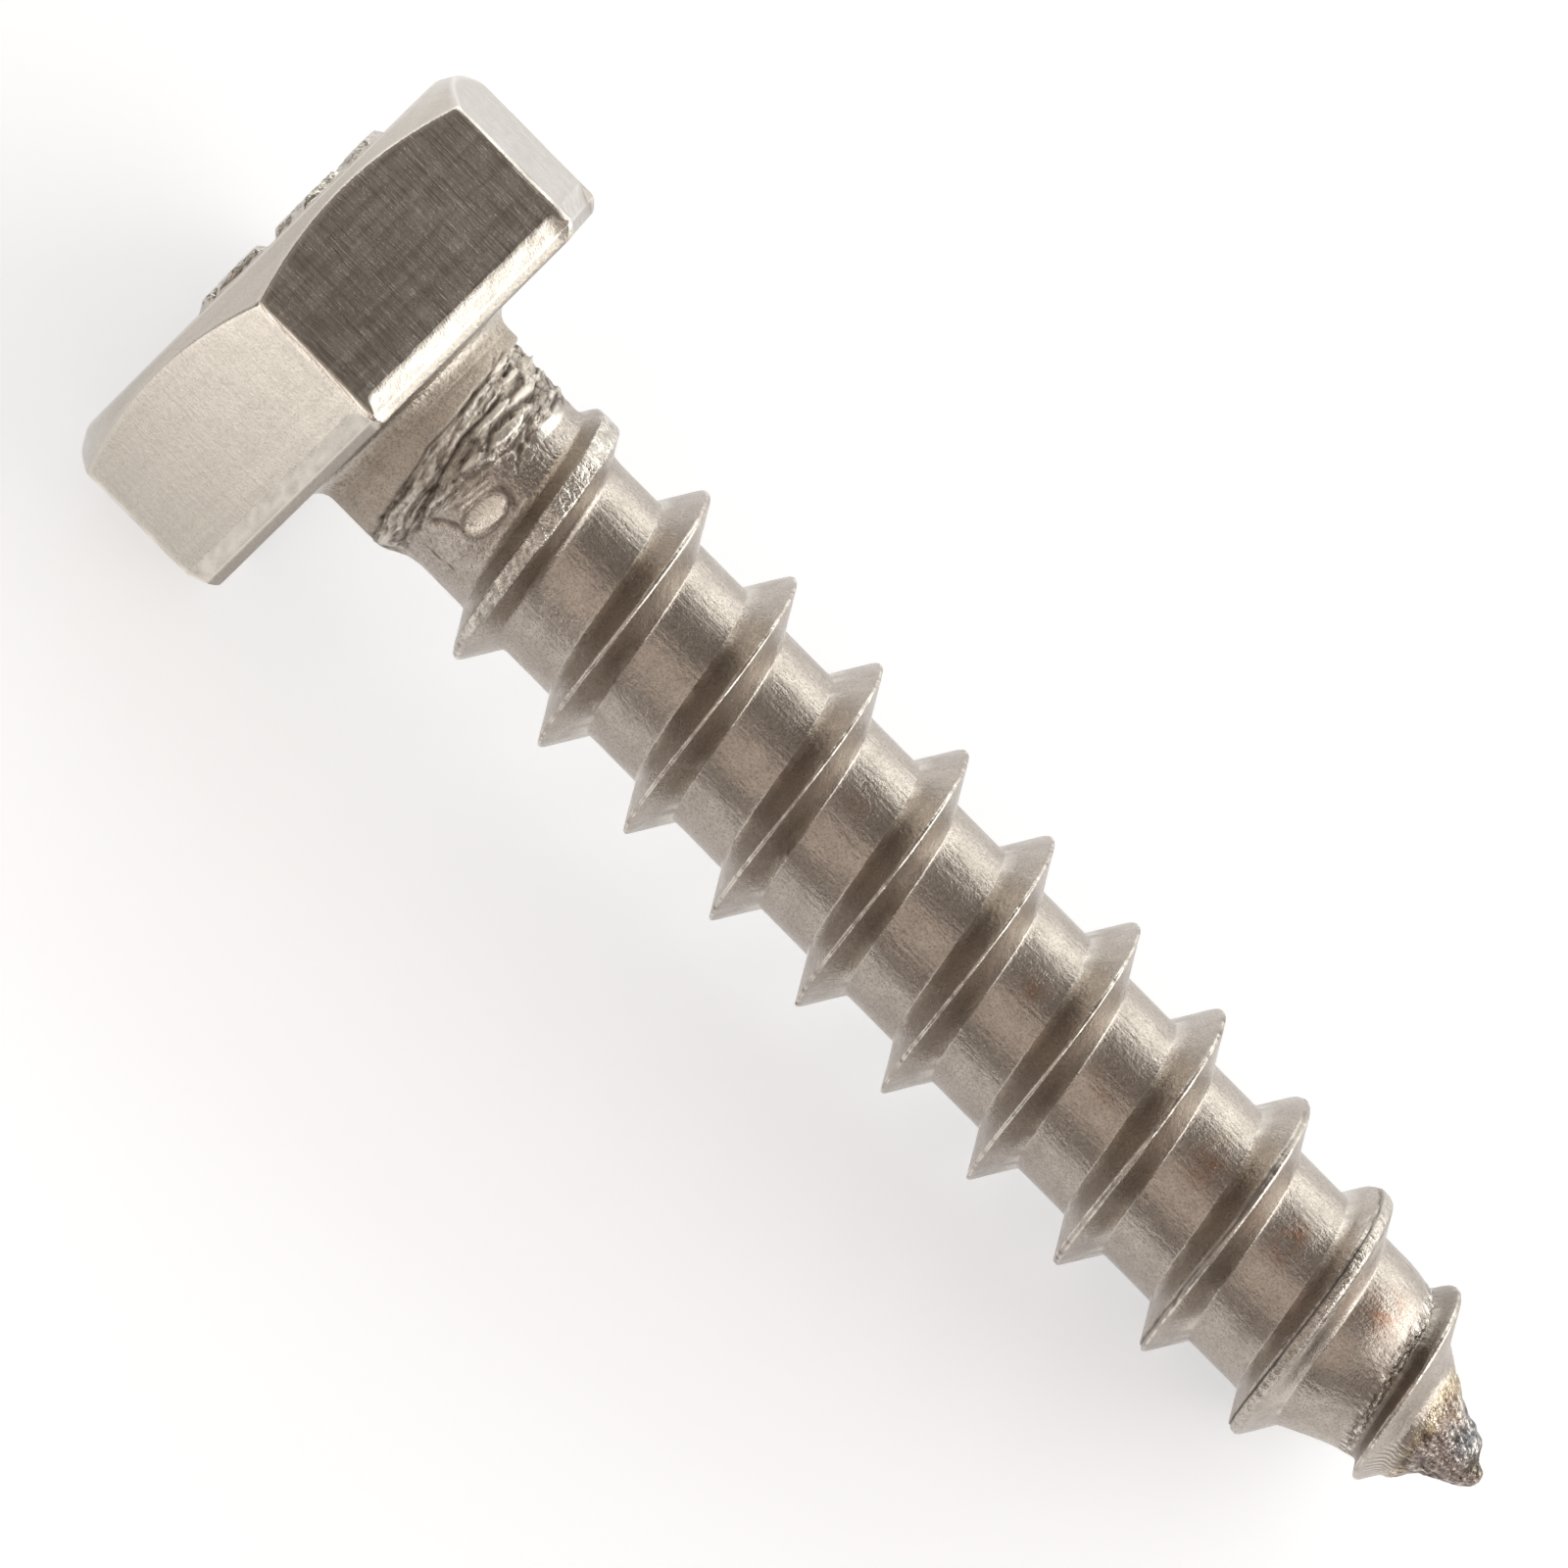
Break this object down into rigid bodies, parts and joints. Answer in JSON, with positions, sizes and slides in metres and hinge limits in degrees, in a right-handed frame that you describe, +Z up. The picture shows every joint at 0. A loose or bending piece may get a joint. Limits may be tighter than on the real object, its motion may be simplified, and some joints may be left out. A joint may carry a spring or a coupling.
{
  "type": "lag screw",
  "caption": "Stainless hex lag screw with a chamfered hex head, a short neck, a coarse right-hand wood thread and a gimlet point.",
  "frame": {"origin": "on the surface that the screw lies on, under the middle of its bounding box", "axes": "+X runs from the head to the point, seen from above; +Z is up, and the screw lies on one flat of its head and on its thread"},
  "size_m": [0.0364, 0.0126, 0.0112],
  "materials": {
    "stainless_steel": "semi-gloss cold-formed stainless steel, with a heat-tinted point"
  },
  "bodies": {
    "root": {"lag_screw": "stainless_steel"}
  },
  "joints": []
}
